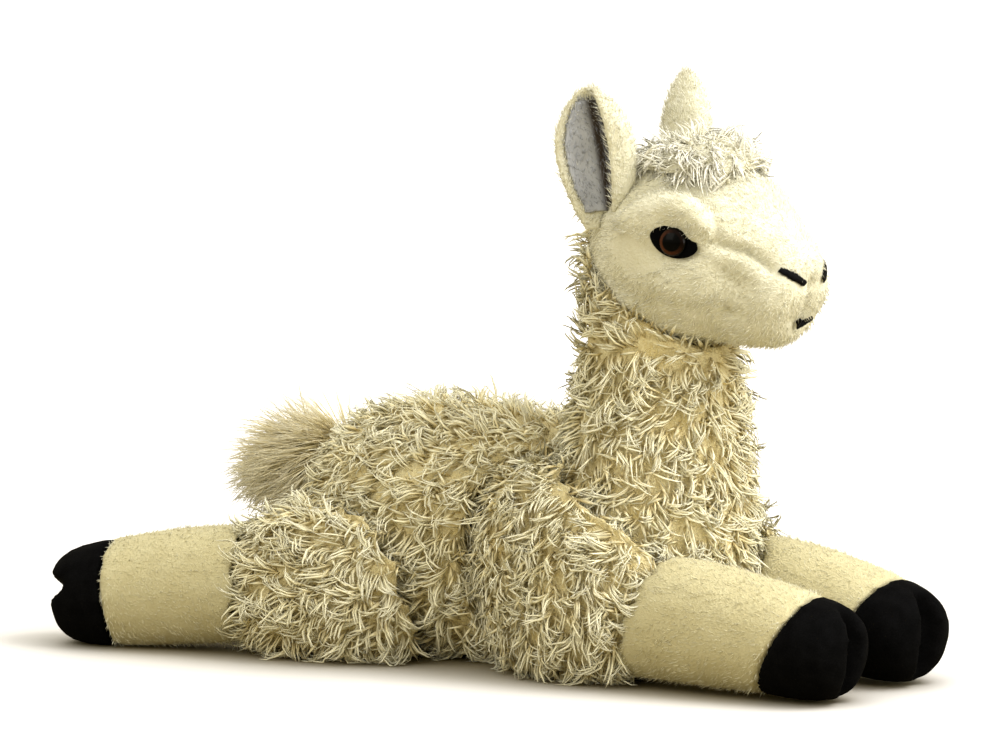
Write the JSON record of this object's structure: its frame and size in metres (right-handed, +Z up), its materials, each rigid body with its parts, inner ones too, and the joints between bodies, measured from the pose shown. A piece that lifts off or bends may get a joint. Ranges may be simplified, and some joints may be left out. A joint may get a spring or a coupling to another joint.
{
  "type": "plush llama",
  "caption": "Soft stuffed llama lying on its belly, legs stretched out fore and aft, head up on an upright neck, with curly wool cloth, smooth legs and dark hooves.",
  "frame": {"origin": "under the middle of the overall box, on the surface that the toy lies on", "axes": "+X the way the llama looks, +Y its left side, +Z up"},
  "size_m": [0.296, 0.1506, 0.1959],
  "materials": {
    "curly_cloth": "curly wool pile",
    "short_cloth": "short smooth pile",
    "tail_cloth": "long straight pile",
    "hoof_cloth": "short black pile",
    "lining_cloth": "long grey pile",
    "eye_plastic": "polished",
    "washer_nylon": "moulded",
    "black_thread": "embroidery thread and felt"
  },
  "bodies": {
    "root": {"torso": "curly_cloth", "neck_and_chest": "curly_cloth", "shoulder_left": "curly_cloth", "shoulder_right": "curly_cloth", "thigh_left": "curly_cloth", "thigh_right": "curly_cloth", "topknot": "curly_cloth", "head": "short_cloth", "front_lower_leg_left": "short_cloth", "front_lower_leg_right": "short_cloth", "hind_lower_leg_left": "short_cloth", "hind_lower_leg_right": "short_cloth", "ear_left": "short_cloth", "ear_right": "short_cloth", "tail": "tail_cloth", "front_hoof_left": "hoof_cloth", "front_hoof_right": "hoof_cloth", "hind_hoof_left": "hoof_cloth", "hind_hoof_right": "hoof_cloth", "ear_lining_left": "lining_cloth", "ear_lining_right": "lining_cloth", "eye_left": "eye_plastic", "eye_right": "eye_plastic", "eye_washer_left": "washer_nylon", "eye_washer_right": "washer_nylon", "eye_patch_left": "black_thread", "eye_patch_right": "black_thread", "nostril_stitching_left": "black_thread", "nostril_stitching_right": "black_thread", "mouth_stitching": "black_thread"}
  },
  "joints": []
}
